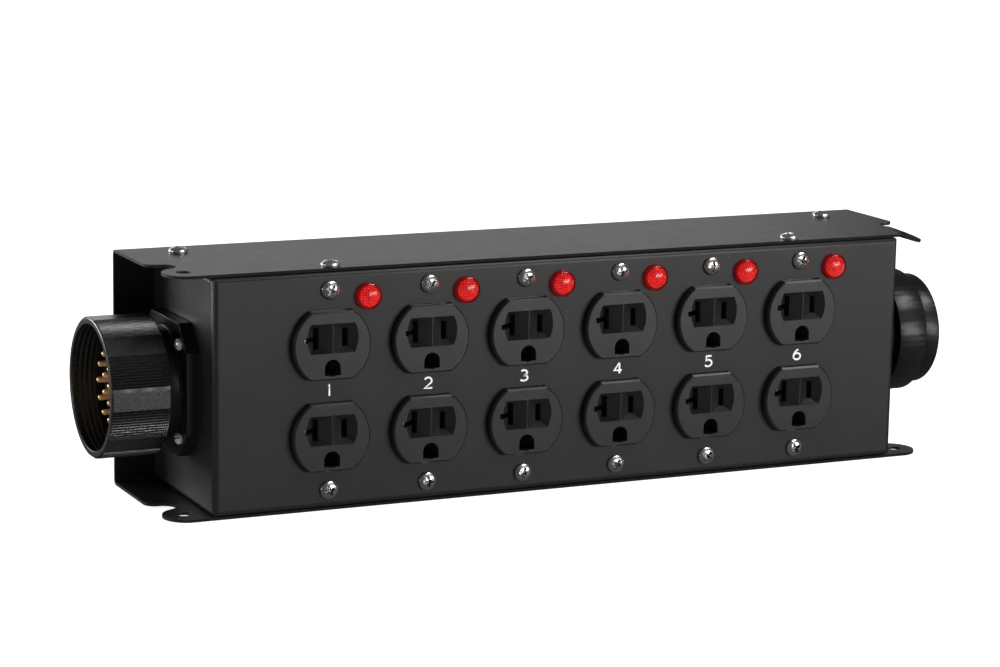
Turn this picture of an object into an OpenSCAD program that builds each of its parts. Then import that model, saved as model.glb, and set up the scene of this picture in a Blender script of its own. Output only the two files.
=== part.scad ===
// Portable power distribution box: six duplex receptacles, a multi-pin inlet
// with a turning coupling ring, and a multi-pin pass-through outlet.
// Origin: centre of the enclosure's underside. +X to the outlet end, the
// receptacles face -Y, +Z up. Millimetres.

/* [Enclosure] */
// Length between the outer faces of the end panels
box_w = 320; // [320:1:340]
// Depth from the front face to the back face
box_d = 75; // [75:1:90]
// Height over both cover plates
box_h = 100.8; // [100.4:0.1:104]
// Thickness of the sheet steel
sheet_t = 1.2; // [1:0.1:1.3]
// Outside radius of the bends
bend_r = 2.5; // [2:0.1:3]
// Width of the pan's return flanges
return_w = 12; // [11:0.5:13]
// How far the cover's front edges sit behind the front face
cover_setback = 0.8; // [0.5:0.1:1.5]

/* [Cover wings and ears] */
// How far each wing stands past the end panel
wing = 17.5; // [17:0.5:20]
// Radius of the rounded ears
ear_r = 10.5; // [9.5:0.5:11]
// Radius of the hole in each ear
ear_hole_r = 3.1; // [2:0.1:3.5]
// Distance from the end panel to the hole in each ear
ear_hole_out = 8.7; // [8:0.1:10]
// Radius of the notch between wing and ear
notch_r = 5.5; // [5:0.1:6]
// Radius of the wing's front corner
wing_corner_r = 5; // [4:0.5:5.5]
// Downward bend of the top ear at the outlet end, in degrees
ear_bend = 18; // [0:1:20]

/* [Receptacles] */
// Number of duplex receptacles
columns = 6; // [1:1:6]
// Spacing between receptacles
column_pitch = 44; // [43:0.5:46]
// Spacing between a receptacle's two mounting screws
strap_screw_pitch = 83.3; // [83.3]
// Spacing between the two outlets of one receptacle
outlet_pitch = 38.1; // [38:0.1:39]
// Radius of an outlet's round sides
outlet_r = 16.9; // [16.5:0.1:17]
// Half the height between an outlet's flat top and bottom
outlet_half_h = 14.15; // [14:0.05:14.3]
// How far the outlets stand in front of the panel
outlet_proud = 3.7; // [3:0.1:4]
// Spacing between an outlet's two blade slots
blade_pitch = 12.7; // [12.7]
// Distance from an outlet's centre down to its ground hole
ground_drop = 8.9; // [8.5:0.1:9]

/* [Indicator lamps] */
// Distance from a receptacle's centre line to its lamp
lamp_dx = 16.8; // [16.5:0.1:17.5]
// Distance from the panel's centre up to the lamps
lamp_dz = 38.3; // [38:0.1:39]
// Radius of a lamp's lens
lens_r = 5.7; // [5.3:0.1:5.9]
// How far a lens stands in front of the panel
lens_h = 3.8; // [3:0.1:4.5]

/* [Multi-pin connectors] */
// Distance of the connectors' axis behind the enclosure's centre
conn_y = 5.6; // [4:0.1:6]
// Distance of the connectors' axis below the enclosure's mid-height
conn_drop = 1; // [0:0.1:2]
// Width across the flange's flats
flange_w = 55.6; // [55:0.1:58]
// Size of the flange's corner chamfers
flange_cut = 10.8; // [10:0.1:11]
// Thickness of the flange
flange_t = 5; // [4:0.1:5.5]
// Spacing of the flange's four screws
flange_screw_pitch = 39; // [38:0.1:39]
// Outside radius of the coupling ring
ring_r = 29.2; // [29:0.1:30]
// Length of the coupling ring
ring_len = 25.3; // [24:0.1:26]
// Radius inside the coupling ring
ring_bore_r = 26.7; // [26:0.1:27]
// Radius of the outlet's collar
collar_r = 27.7; // [27:0.1:28]
// Radius of the outlet's barrel
barrel_r = 24.9; // [24.5:0.1:25.5]
// Radius of a contact pin
pin_r = 1.2; // [1:0.05:1.3]
// Radius of the outer circle of contacts
pin_circle_outer = 14.2; // [13.8:0.1:14.6]
// Radius of the inner circle of contacts
pin_circle_inner = 7.1; // [6.5:0.1:7.5]

/* [Hidden] */
$fn = 64;
COLUMNS = [for (i = [1 : columns]) i];

// Enclosure, derived
front_y = -box_d / 2;
back_y = box_d / 2;
inner_back_y = back_y - sheet_t;
mid_z = box_h / 2;
pan_z0 = sheet_t;
pan_z1 = box_h - sheet_t;
pan_top_inside = pan_z1 - sheet_t;
end_x = box_w / 2;
cover_front_y = front_y + cover_setback;

// Ear, notch and wing corner are tangent circles
ear_x = end_x + wing - ear_r;
ear_y = front_y + ear_r + 0.5;
notch_x = end_x + wing - wing_corner_r;
notch_y = ear_y + sqrt(pow(ear_r + notch_r, 2) - pow(notch_x - ear_x, 2));
wing_corner_y = notch_y + notch_r + wing_corner_r;
arc_steps = 18;
ear_hole_x = end_x + ear_hole_out;

// Cover screws: pan heads above, countersunk heads below
cover_screw_r = 1.8;
cover_screw_len = 6.4;
cover_head_r = 4.1;
cover_head_h = 2.6;
csk_head_r = 3.3;
csk_recess_depth = 0.9;
weld_nut_h = 2.4;
weld_nut_af = 5.5;
screw_play = 0.2;
front_screw_share = 0.672;
cover_front_screw = [end_x * front_screw_share, front_y + 6];
cover_rear_screw = [end_x - 5.3, back_y - 17];

// Receptacle, seen from its own centre: x across, y inward from the panel's
// front face, z up
strap_t = 1.5;
strap_w = 16;
strap_half = 45.5;
device_half_w = 16.5;
device_half_h = 33.2;
face_plate_t = 4.5;
base_back = 27;
base_wall = 1.6;
outlet_bevel = 0.7;
cutout_gap = 0.3;
pocket_depth = 3;
pocket_half_w = 11.2;
pocket_half_h = 6.15;
pocket_z = 3.1;
pocket_arc_r = 13.15;
slot_w = 2.4;
neutral_slot_h = 9;
hot_slot_h = 7.4;
slot_z = 2.9;
tee_reach = 12.6;
tee_h = 2.3;
ground_hole_r = 3.5;
ground_hole_h = 6.6;
chamber_w = 5.6;
chamber_x = 3.8;
chamber_end = 3;
ground_chamber_w = 5.8;
ground_chamber_end = 5;
chamber_floor = 1;
leaf_t = 0.7;
leaf_depth = 11;
leaf_gap = slot_w + 0.4;
contact_extra_h = 14;
tab_t = 1;
tab_w = 4.8;
tab_drop = 3.1;
tab_play = 0.2;
ground_tube_r = 2.4;
ground_tube_bore_r = 1.9;
ground_tube_len = 14.5;
ground_bar_t = 0.8;
device_screw_r = 1.7;
device_screw_len = 7;
device_head_r = 3.95;
device_head_h = 2.2;
terminal_z = 8;
ground_terminal_z = -28.6;
terminal_depth = 11;
terminal_head_r = 3.1;
terminal_head_h = 1.6;
terminal_slot_w = 0.8;

// Lamps
lamp_barrel_r = 3.9;
lamp_barrel_len = 16;
lamp_clip_r = 4.9;
lamp_clip_t = 0.6;
lamp_seat_r = lens_r - 1.1;
lamp_seat_h = 0.8;
lens_wall = 1;
lens_edge = 0.7;
lens_dome_r = 30;
bulb_r = 2.2;
bulb_len = 10;
bulb_gap = 1.4;

// Connectors, seen along their own axis: z outward from the end panel
conn_z = mid_z - conn_drop;
gasket_t = 0.8;
flange_face = gasket_t + flange_t;
neck_r = 23;
shell_r = 21.55;
shell_bore_r = 19.5;
spigot_r = 21.8;
spigot_len = 10;
panel_hole_r = 22.1;
ring_back = 12.5;
ring_wall = 5;
ring_play = 0.3;
ring_fit = 0.05;
ring_flats = 8;
ring_flat_depth = 0.36;
shell_front = 25;
insert_face = 23;
insert_back = -12;
pin_tip = 30.5;
pin_back = -18;
retainer_t = 1;
retainer_r = 24;
retainer_bore_r = shell_r - 0.75;
retainer_gap = 4;
groove_r = shell_r - 0.8;
groove_z = ring_back + ring_wall + ring_play;
conn_screw_r = 1.5;
conn_screw_len = 12;
conn_head_r = 2.7;
conn_head_h = 1.8;
conn_nut_af = 5.5;
conn_nut_h = 2.4;
collar_back = 13;
collar_front = 27;
seam = 0.4;
barrel_front = 35.8;
barrel_edge = 0.6;
outlet_bore_r = 21.8;
outlet_insert_r = 19.2;
outlet_insert_face = 34.2;
socket_r = 1.9;
socket_bore_r = 1.25;
socket_depth = 16;
neck_fillet_r = 1;
outer_contacts = 12;
inner_contacts = 6;

// Wiring and earth stud
wire_r = 1.4;
wire_facets = 24;
wire_pitch = 3.4;
wire_first_y = -3;
wire_end_x = end_x - 19;
wire_out = device_half_w + terminal_head_h + wire_r + 0.6;
hot_rise = 4.2;
ground_rise = 9;
stud_x = -end_x + 32;
stud_z = 20;
stud_r = 2.5;
stud_len = 16;
stud_nut_af = 8;
stud_nut_h = 3;
lug_r = 5.5;
lug_t = 1;
lug_len = 14;
lug_w = 5;

// ---------------------------------------------------------------- helpers

function column_x(i) = (i - (columns + 1) / 2) * column_pitch;

module at_column(i) {
    translate([column_x(i), front_y, mid_z])
        children();
}

module at_outlets() {
    for (s = [-1, 1])
        translate([0, 0, s * outlet_pitch / 2])
            children();
}

// Turns a shape that is built along +Z so that it points along +Y
module inward() {
    rotate([-90, 0, 0])
        children();
}

// Places a shape that is built along +Z on the inlet end, pointing out
module on_inlet_end() {
    translate([-end_x, conn_y, conn_z])
        rotate([0, -90, 0])
            children();
}

// Places a shape that is built along +Z on the outlet end, pointing out
module on_outlet_end() {
    translate([end_x, conn_y, conn_z])
        rotate([0, 90, 0])
            children();
}

module four_corners(pitch) {
    for (sx = [-1, 1], sy = [-1, 1])
        translate([sx * pitch / 2, sy * pitch / 2, 0])
            children();
}

module at_contacts() {
    children();
    for (i = [0 : inner_contacts - 1])
        rotate(i * 360 / inner_contacts)
            translate([pin_circle_inner, 0, 0])
                children();
    for (i = [0 : outer_contacts - 1])
        rotate(i * 360 / outer_contacts)
            translate([pin_circle_outer, 0, 0])
                children();
}

module hex_prism(across_flats, h) {
    cylinder(r = across_flats / sqrt(3), h = h, $fn = 6);
}

module tube(r_out, r_in, h) {
    difference() {
        cylinder(r = r_out, h = h);
        translate([0, 0, -1])
            cylinder(r = r_in, h = h + 2);
    }
}

module ring_of(r_out, r_in, z0, z1) {
    translate([0, 0, z0])
        tube(r_out, r_in, z1 - z0);
}

module rounded_rect(w, d, r) {
    union() {
        square([w - 2 * r, d], center = true);
        square([w, d - 2 * r], center = true);
        for (sx = [-1, 1], sy = [-1, 1])
            translate([sx * (w / 2 - r), sy * (d / 2 - r)])
                circle(r);
    }
}

// ---------------------------------------------------------------- enclosure

// A block rounded along its front, top and bottom edges, open to the back
module pan_block(inset, r) {
    w = box_w - 2 * inset;
    h = pan_z1 - pan_z0 - 2 * inset;
    y0 = front_y + inset;
    deep = 2 * (inner_back_y - y0);
    intersection() {
        translate([0, y0 + deep / 2, 0])
            linear_extrude(box_h)
                rounded_rect(w, deep, r);
        translate([0, y0, mid_z])
            inward()
                linear_extrude(deep)
                    rounded_rect(w, h, r);
        translate([-w / 2, y0 + deep / 2, mid_z])
            rotate([90, 0, 90])
                linear_extrude(w)
                    rounded_rect(deep, h, r);
    }
}

module outlet_outline(r, half_h) {
    intersection() {
        circle(r);
        square([2 * r, 2 * half_h], center = true);
    }
}

module pan_cutouts() {
    for (i = COLUMNS)
        at_column(i) {
            at_outlets()
                translate([0, -1, 0])
                    inward()
                        linear_extrude(sheet_t + 2)
                            outlet_outline(outlet_r + cutout_gap, outlet_half_h + cutout_gap);
            for (s = [-1, 1])
                translate([0, -1, s * strap_screw_pitch / 2])
                    inward()
                        cylinder(r = device_screw_r + 0.4, h = sheet_t + 2);
            translate([lamp_dx, -1, lamp_dz])
                inward()
                    cylinder(r = lamp_barrel_r + 0.1, h = sheet_t + 2);
        }
}

module end_panel_cutouts() {
    translate([0, 0, -sheet_t - 1]) {
        cylinder(r = panel_hole_r, h = sheet_t + 2);
        four_corners(flange_screw_pitch)
            cylinder(r = conn_screw_r + 0.1, h = sheet_t + 2);
    }
}

module at_cover_screws() {
    for (s = [-1, 1], p = [cover_front_screw, cover_rear_screw])
        translate([s * p[0], p[1], 0])
            children();
}

module front_pan() {
    window_w = box_w - 2 * return_w;
    color([0.12, 0.115, 0.115])
    difference() {
        intersection() {
            pan_block(0, bend_r);
            // Its back corners follow the inside of the cover's bends
            translate([-end_x, 0, 0])
                rotate([90, 0, 90])
                    linear_extrude(box_w)
                        cover_profile(sheet_t, bend_r - sheet_t);
        }
        pan_block(sheet_t, bend_r - sheet_t);
        // Everything behind the cover's back plate
        translate([-end_x, inner_back_y, 0])
            cube([box_w, box_d, box_h]);
        // The window left between the return flanges, through top and bottom
        translate([-window_w / 2, front_y + return_w, -1])
            cube([window_w, box_d, box_h + 2]);
        pan_cutouts();
        on_inlet_end()
            end_panel_cutouts();
        on_outlet_end()
            end_panel_cutouts();
        at_cover_screws()
            cylinder(r = cover_screw_r + screw_play, h = box_h);
    }
}

function unit(a) = [cos(a), sin(a)];

// Points of an arc about c, from angle a0 to angle a1
function arc(c, r, a0, a1) =
    [for (k = [0 : arc_steps]) c + r * unit(a0 + (a1 - a0) * k / arc_steps)];

// One end of the cover's outline, seen from above
module cover_end_plan() {
    ear = [ear_x, ear_y];
    notch = [notch_x, notch_y];
    corner = [notch_x, wing_corner_y];
    meet = atan2(notch_y - ear_y, notch_x - ear_x);
    difference() {
        polygon(concat(
            [[0, cover_front_y]],
            arc(ear, ear_r, -asin((ear_y - cover_front_y) / ear_r), meet),
            arc(notch, notch_r, 180 + meet, 90),
            arc(corner, wing_corner_r, -90, 0),
            [[end_x + wing, back_y], [0, back_y]]));
        translate([ear_hole_x, ear_y])
            circle(ear_hole_r);
    }
}

// The top ear's bend line runs from the pan's corner to the lower side of the notch
function bend_end() = [notch_x, notch_y] + notch_r * unit(225);
function bend_start() = [end_x, front_y - 1];
function bend_dir() = (bend_end() - bend_start()) / norm(bend_end() - bend_start());

// The part of the plan beyond the bend line
module bent_ear_zone() {
    past = bend_end() + bend_dir();
    far_x = end_x + wing + 1;
    polygon([bend_start(), [far_x, front_y - 1], [far_x, past[1]], past]);
}

module cover_plan() {
    cover_end_plan();
    mirror([1, 0])
        cover_end_plan();
}

// Side profile of the cover: top plate, back plate and bottom plate in one
module cover_profile(inset, r) {
    translate([-box_d, inset])
        square([box_d + back_y - inset - r, box_h - 2 * inset]);
    translate([0, inset + r])
        square([back_y - inset, box_h - 2 * inset - 2 * r]);
    for (z = [inset + r, box_h - inset - r])
        translate([back_y - inset - r, z])
            circle(r);
}

module bent_ear() {
    turn = atan2(bend_dir()[1], bend_dir()[0]);
    translate([bend_start()[0], bend_start()[1], box_h])
        rotate([0, 0, turn])
            rotate([ear_bend, 0, 0])
                rotate([0, 0, -turn])
                    translate([-bend_start()[0], -bend_start()[1], -sheet_t])
                        linear_extrude(sheet_t)
                            intersection() {
                                cover_end_plan();
                                bent_ear_zone();
                            }
}

module rear_cover() {
    length = box_w + 2 * wing;
    color([0.13, 0.13, 0.13])
    difference() {
        union() {
            difference() {
                intersection() {
                    translate([-length / 2, 0, 0])
                        rotate([90, 0, 90])
                            linear_extrude(length)
                                cover_profile(0, bend_r);
                    linear_extrude(box_h)
                        cover_plan();
                }
                translate([-length / 2 - 1, 0, 0])
                    rotate([90, 0, 90])
                        linear_extrude(length + 2)
                            cover_profile(sheet_t, bend_r - sheet_t);
                translate([0, 0, mid_z])
                    linear_extrude(box_h)
                        bent_ear_zone();
            }
            bent_ear();
        }
        at_cover_screws() {
            translate([0, 0, mid_z])
                cylinder(r = cover_screw_r + screw_play, h = box_h);
            translate([0, 0, -1])
                cylinder(r = cover_screw_r + screw_play, h = mid_z);
            translate([0, 0, -0.01])
                cylinder(r1 = csk_head_r + 0.1, r2 = cover_screw_r + screw_play, h = sheet_t);
        }
        translate([stud_x, inner_back_y - 1, stud_z])
            inward()
                cylinder(r = stud_r, h = 1.6);
    }
}

// ---------------------------------------------------------------- screws

// A cross recess, cut down from z = 0
module cross_recess(size, depth) {
    for (a = [0, 90])
        rotate(a)
            translate([-size / 2, -size / 8, -depth])
                cube([size, size / 4, depth + 1]);
}

// A pan-head screw that stands on z = 0 with its shank going down
module pan_screw(head_r, head_h, shank_r, shank_len) {
    crown = head_h * 0.45;
    crown_r = (head_r * head_r * 0.72 + crown * crown) / (2 * crown);
    difference() {
        union() {
            cylinder(r = head_r, h = head_h - crown);
            intersection() {
                cylinder(r = head_r, h = head_h);
                translate([0, 0, head_h - crown_r])
                    sphere(crown_r);
            }
            translate([0, 0, -shank_len])
                cylinder(r = shank_r, h = shank_len + 0.01);
        }
        translate([0, 0, head_h])
            cross_recess(head_r * 1.15, head_h * 0.6);
    }
}

module cover_screws_top() {
    color([0.72, 0.72, 0.7])
    at_cover_screws()
        translate([0, 0, box_h])
            pan_screw(cover_head_r, cover_head_h, cover_screw_r, cover_screw_len);
}

module cover_screws_bottom() {
    color([0.72, 0.72, 0.7])
    at_cover_screws()
        difference() {
            union() {
                cylinder(r = cover_screw_r, h = cover_screw_len);
                cylinder(r1 = csk_head_r, r2 = cover_screw_r, h = sheet_t);
            }
            rotate([180, 0, 0])
                cross_recess(csk_head_r * 1.2, csk_recess_depth);
        }
}

module cover_weld_nuts() {
    color([0.6, 0.6, 0.58])
    at_cover_screws()
        for (z = [pan_z0 + sheet_t, pan_top_inside - weld_nut_h])
            translate([0, 0, z])
                difference() {
                    rotate(30)
                        hex_prism(weld_nut_af, weld_nut_h);
                    translate([0, 0, -1])
                        cylinder(r = cover_screw_r + 0.05, h = weld_nut_h + 2);
                }
}

module receptacle_screws() {
    color([0.75, 0.75, 0.73])
    for (i = COLUMNS, s = [-1, 1])
        at_column(i)
            translate([0, 0, s * strap_screw_pitch / 2])
                rotate([90, 0, 0])
                    pan_screw(device_head_r, device_head_h, device_screw_r, device_screw_len);
}

// ---------------------------------------------------------------- receptacle

// One outlet's raised boss, from its bevelled front to the panel's back
module outlet_boss() {
    length = outlet_proud + sheet_t + 0.01;
    flat_h = outlet_half_h - outlet_bevel;
    intersection() {
        translate([0, -outlet_proud, 0])
            inward()
                union() {
                    cylinder(r1 = outlet_r - outlet_bevel, r2 = outlet_r, h = outlet_bevel);
                    translate([0, 0, outlet_bevel])
                        cylinder(r = outlet_r, h = length - outlet_bevel);
                }
        translate([-outlet_r - 1, -outlet_proud, 0])
            rotate([90, 0, 90])
                linear_extrude(2 * outlet_r + 2)
                    polygon([
                        [0, -flat_h], [0, flat_h],
                        [outlet_bevel, outlet_half_h], [length, outlet_half_h],
                        [length, -outlet_half_h], [outlet_bevel, -outlet_half_h]]);
    }
}

// The sloping funnel from the face down to one blade slot; side is -1 or 1
module funnel(side, slot_h) {
    skin = 0.02;
    hull() {
        translate([0, -skin, pocket_z])
            inward()
                linear_extrude(skin)
                    intersection() {
                        translate([side > 0 ? 0.15 : -pocket_half_w, -pocket_half_h])
                            square([pocket_half_w - 0.15, 2 * pocket_half_h]);
                        translate([side * (pocket_half_w - pocket_arc_r), 0])
                            circle(pocket_arc_r, $fn = 32);
                    }
        translate([side * blade_pitch / 2 - slot_w / 2, pocket_depth - skin, slot_z - slot_h / 2])
            cube([slot_w, skin, slot_h]);
    }
}

module blade_slots(depth) {
    for (s = [-1, 1]) {
        h = s < 0 ? neutral_slot_h : hot_slot_h;
        translate([s * blade_pitch / 2 - slot_w / 2, -1, slot_z - h / 2])
            cube([slot_w, depth + 1, h]);
    }
    translate([-tee_reach, -1, slot_z - tee_h / 2])
        cube([tee_reach - blade_pitch / 2, depth + 1, tee_h]);
}

module ground_hole(depth) {
    arch_z = ground_hole_h / 2 - ground_hole_r;
    translate([0, -1, -ground_drop])
        inward()
            linear_extrude(depth + 1)
                union() {
                    translate([0, -arch_z])
                        circle(ground_hole_r);
                    translate([-ground_hole_r, -arch_z])
                        square([2 * ground_hole_r, ground_hole_h / 2 + arch_z]);
                }
}

// Moulded front of one duplex receptacle
module receptacle_face() {
    depth = outlet_proud + sheet_t + face_plate_t + 1;
    color([0.07, 0.075, 0.085])
    difference() {
        union() {
            at_outlets()
                outlet_boss();
            translate([-device_half_w, sheet_t, -device_half_h])
                cube([2 * device_half_w, face_plate_t, 2 * device_half_h]);
        }
        at_outlets()
            translate([0, -outlet_proud, 0]) {
                funnel(-1, neutral_slot_h);
                funnel(1, hot_slot_h);
                blade_slots(depth);
                ground_hole(depth);
            }
    }
}

// Moulded back of one duplex receptacle, with a chamber for each contact
module receptacle_base() {
    y0 = sheet_t + face_plate_t;
    chamber_d = base_back - y0 - base_wall + 1;
    passage_y = terminal_depth + tab_drop - tab_play / 2;
    passage_t = tab_t + tab_play;
    passage_h = tab_w + 2 * tab_play;
    color([0.09, 0.09, 0.1])
    difference() {
        translate([-device_half_w, y0, -device_half_h])
            cube([2 * device_half_w, base_back - y0, 2 * device_half_h]);
        for (s = [-1, 1])
            translate([
                s > 0 ? chamber_x : -chamber_x - chamber_w,
                y0 - 1,
                -device_half_h + chamber_end])
                cube([chamber_w, chamber_d, 2 * (device_half_h - chamber_end)]);
        // The T side of the neutral slots
        at_outlets()
            translate([-tee_reach, y0 - 1, slot_z - tee_h / 2 - 0.5])
                cube([tee_reach - chamber_x, chamber_d, tee_h + 1]);
        // Ground chamber
        translate([
            -ground_chamber_w / 2,
            y0 - 1,
            -outlet_pitch / 2 - ground_drop - ground_chamber_end])
            cube([ground_chamber_w, chamber_d, outlet_pitch + 2 * ground_chamber_end]);
        // Passages for the terminal tabs
        for (s = [-1, 1], z = [-terminal_z, terminal_z])
            translate([s > 0 ? chamber_x : -device_half_w - 1, passage_y, z - passage_h / 2])
                cube([device_half_w - chamber_x + 1, passage_t, passage_h]);
        translate([-device_half_w - 1, passage_y, ground_terminal_z - passage_h / 2])
            cube([device_half_w + 1 - ground_chamber_w / 2, passage_t, passage_h]);
    }
}

// Wrap-round mounting strap
module receptacle_strap() {
    leg_z = device_half_h + 0.1;
    color([0.7, 0.7, 0.68])
    for (s = [-1, 1])
        difference() {
            union() {
                translate([-strap_w / 2, sheet_t, s > 0 ? leg_z : -strap_half])
                    cube([strap_w, strap_t, strap_half - leg_z]);
                translate([-strap_w / 2, sheet_t, s > 0 ? leg_z : -leg_z - strap_t])
                    cube([strap_w, base_back + 0.1 + strap_t - sheet_t, strap_t]);
                translate([-strap_w / 2, base_back + 0.1, s > 0 ? 0 : -leg_z - strap_t])
                    cube([strap_w, strap_t, leg_z + strap_t]);
            }
            translate([0, sheet_t - 1, s * strap_screw_pitch / 2])
                inward()
                    cylinder(r = device_screw_r + 0.05, h = strap_t + 2);
        }
}

// A spring contact: two leaves either side of the blade and a back between them,
// with tabs that reach the terminals on the given side
module blade_contact(side) {
    y0 = sheet_t + face_plate_t + chamber_floor;
    reach = blade_pitch / 2 + leaf_gap / 2;
    h = outlet_pitch + contact_extra_h;
    translate([side * blade_pitch / 2, 0, 0])
        difference() {
            translate([-leaf_gap / 2 - leaf_t, y0, -h / 2])
                cube([leaf_gap + 2 * leaf_t, leaf_depth, h]);
            translate([-leaf_gap / 2, y0 - 1, -h / 2 - 1])
                cube([leaf_gap, leaf_depth + 1 - leaf_t, h + 2]);
        }
    for (z = [-terminal_z, terminal_z])
        translate([
            side > 0 ? reach : -device_half_w,
            terminal_depth + tab_drop,
            z - tab_w / 2])
            cube([device_half_w - reach, tab_t, tab_w]);
}

// A tube behind each ground hole, on a bar that joins them, with a tab
module ground_contact() {
    y0 = sheet_t + face_plate_t + chamber_floor;
    past = ground_tube_r + 1.6;
    bar_h = outlet_pitch + 2 * past;
    translate([-ground_tube_r, y0 + ground_tube_len + 0.5, -ground_drop - bar_h / 2])
        cube([2 * ground_tube_r, ground_bar_t, bar_h]);
    for (s = [-1, 1])
        translate([0, y0 + 1, s * outlet_pitch / 2 - ground_drop])
            inward()
                tube(ground_tube_r, ground_tube_bore_r, ground_tube_len);
    translate([-device_half_w, terminal_depth + tab_drop, ground_terminal_z - tab_w / 2])
        cube([device_half_w - ground_tube_r + 0.05, tab_t, tab_w]);
}

module hot_contacts() {
    color([0.8, 0.62, 0.3])
    for (i = COLUMNS)
        at_column(i)
            blade_contact(1);
}

module neutral_contacts() {
    color([0.75, 0.7, 0.55])
    for (i = COLUMNS)
        at_column(i)
            blade_contact(-1);
}

module ground_contacts() {
    color([0.8, 0.62, 0.3])
    for (i = COLUMNS)
        at_column(i)
            ground_contact();
}

// A slotted binding screw whose head stands out of the receptacle's side
module terminal_screw(side, z) {
    translate([side * (device_half_w + 0.05), terminal_depth, z])
        rotate([0, side * 90, 0])
            difference() {
                cylinder(r = terminal_head_r, h = terminal_head_h);
                translate([-terminal_head_r, -terminal_slot_w / 2, terminal_head_h / 2])
                    cube([2 * terminal_head_r, terminal_slot_w, terminal_head_h]);
            }
}

module terminal_screws(side, heights) {
    for (i = COLUMNS, z = heights)
        at_column(i)
            terminal_screw(side, z);
}

module hot_terminal_screws() {
    color([0.78, 0.6, 0.28])
        terminal_screws(1, [-terminal_z, terminal_z]);
}

module neutral_terminal_screws() {
    color([0.78, 0.78, 0.76])
        terminal_screws(-1, [-terminal_z, terminal_z]);
}

module ground_terminal_screws() {
    color([0.2, 0.5, 0.25])
        terminal_screws(-1, [ground_terminal_z]);
}

// ---------------------------------------------------------------- lamps

module lamp_lens() {
    rim_h = lens_h - lens_edge;
    color([0.85, 0.05, 0.08])
    translate([lamp_dx, 0, lamp_dz])
        rotate([90, 0, 0])
            difference() {
                intersection() {
                    union() {
                        cylinder(r = lens_r, h = rim_h);
                        translate([0, 0, rim_h])
                            cylinder(r1 = lens_r, r2 = lens_r - lens_edge, h = lens_edge);
                    }
                    translate([0, 0, lens_h - lens_dome_r])
                        sphere(lens_dome_r);
                }
                translate([0, 0, -1])
                    cylinder(r = lens_r - lens_wall, h = lens_h - lens_wall + 1);
            }
}

module lamp_bodies() {
    color([0.1, 0.1, 0.1])
    for (i = COLUMNS)
        at_column(i)
            translate([lamp_dx, 0, lamp_dz])
                difference() {
                    union() {
                        inward()
                            cylinder(r = lamp_barrel_r, h = lamp_barrel_len);
                        rotate([90, 0, 0])
                            cylinder(r = lamp_seat_r, h = lamp_seat_h);
                    }
                    translate([0, -2, 0])
                        inward()
                            cylinder(r = bulb_r + 0.1, h = lamp_barrel_len);
                }
}

module lamp_clips() {
    color([0.7, 0.7, 0.68])
    for (i = COLUMNS)
        at_column(i)
            translate([lamp_dx, sheet_t, lamp_dz])
                inward()
                    tube(lamp_clip_r, lamp_barrel_r + 0.05, lamp_clip_t);
}

module neon_bulbs() {
    color([0.95, 0.6, 0.4])
    for (i = COLUMNS)
        at_column(i)
            translate([lamp_dx, -lens_h + bulb_gap + bulb_r, lamp_dz]) {
                inward()
                    cylinder(r = bulb_r, h = bulb_len);
                sphere(bulb_r);
            }
}

// ---------------------------------------------------------------- connectors

module flange_outline(width, cut) {
    h = width / 2;
    c = h - cut;
    polygon([[h, -c], [h, c], [c, h], [-c, h], [-h, c], [-h, -c], [-c, -h], [c, -h]]);
}

module connector_gasket(hole_r) {
    color([0.05, 0.05, 0.05])
    difference() {
        linear_extrude(gasket_t)
            flange_outline(flange_w - 1, flange_cut);
        translate([0, 0, -1]) {
            cylinder(r = hole_r, h = gasket_t + 2);
            four_corners(flange_screw_pitch)
                cylinder(r = conn_screw_r + 0.1, h = gasket_t + 2);
        }
    }
}

module connector_flange() {
    difference() {
        translate([0, 0, gasket_t])
            linear_extrude(flange_t)
                flange_outline(flange_w, flange_cut);
        four_corners(flange_screw_pitch)
            translate([0, 0, -1])
                cylinder(r = conn_screw_r + 0.1, h = flange_face + 2);
    }
}

// A concave fillet of radius r where a round neck meets the flange
module neck_fillet(r) {
    translate([0, 0, flange_face])
        rotate_extrude()
            difference() {
                translate([neck_r - 1, 0])
                    square([r + 1, r]);
                translate([neck_r + r, r])
                    circle(r);
            }
}

module connector_screws() {
    color([0.8, 0.8, 0.78])
    four_corners(flange_screw_pitch)
        translate([0, 0, flange_face])
            pan_screw(conn_head_r, conn_head_h, conn_screw_r, conn_screw_len);
}

module connector_nuts() {
    color([0.7, 0.7, 0.68])
    four_corners(flange_screw_pitch)
        translate([0, 0, -sheet_t - conn_nut_h])
            difference() {
                hex_prism(conn_nut_af, conn_nut_h);
                translate([0, 0, -1])
                    cylinder(r = conn_screw_r + 0.05, h = conn_nut_h + 2);
            }
}

module inlet_gasket() {
    on_inlet_end()
        connector_gasket(spigot_r + 0.1);
}

module inlet_shell() {
    color([0.1, 0.1, 0.1])
    on_inlet_end()
        difference() {
            union() {
                connector_flange();
                neck_fillet(neck_fillet_r);
                cylinder(r = neck_r, h = ring_back - ring_play);
                cylinder(r = shell_r, h = shell_front);
                translate([0, 0, -spigot_len])
                    cylinder(r = spigot_r, h = spigot_len + flange_face);
            }
            // Clears the gasket and the panel's hole behind the flange
            ring_of(flange_w, spigot_r, -spigot_len - 1, gasket_t);
            translate([0, 0, -spigot_len - 1])
                cylinder(r = shell_bore_r, h = shell_front + spigot_len + 2);
            // Groove for the retaining ring
            ring_of(retainer_r + 1, groove_r, groove_z, groove_z + retainer_t);
        }
}

module inlet_insert() {
    color([0.06, 0.06, 0.06])
    on_inlet_end()
        difference() {
            translate([0, 0, insert_back])
                cylinder(r = shell_bore_r, h = insert_face - insert_back);
            translate([0, 0, insert_back - 1])
                at_contacts()
                    cylinder(r = pin_r, h = insert_face - insert_back + 2);
        }
}

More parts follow.
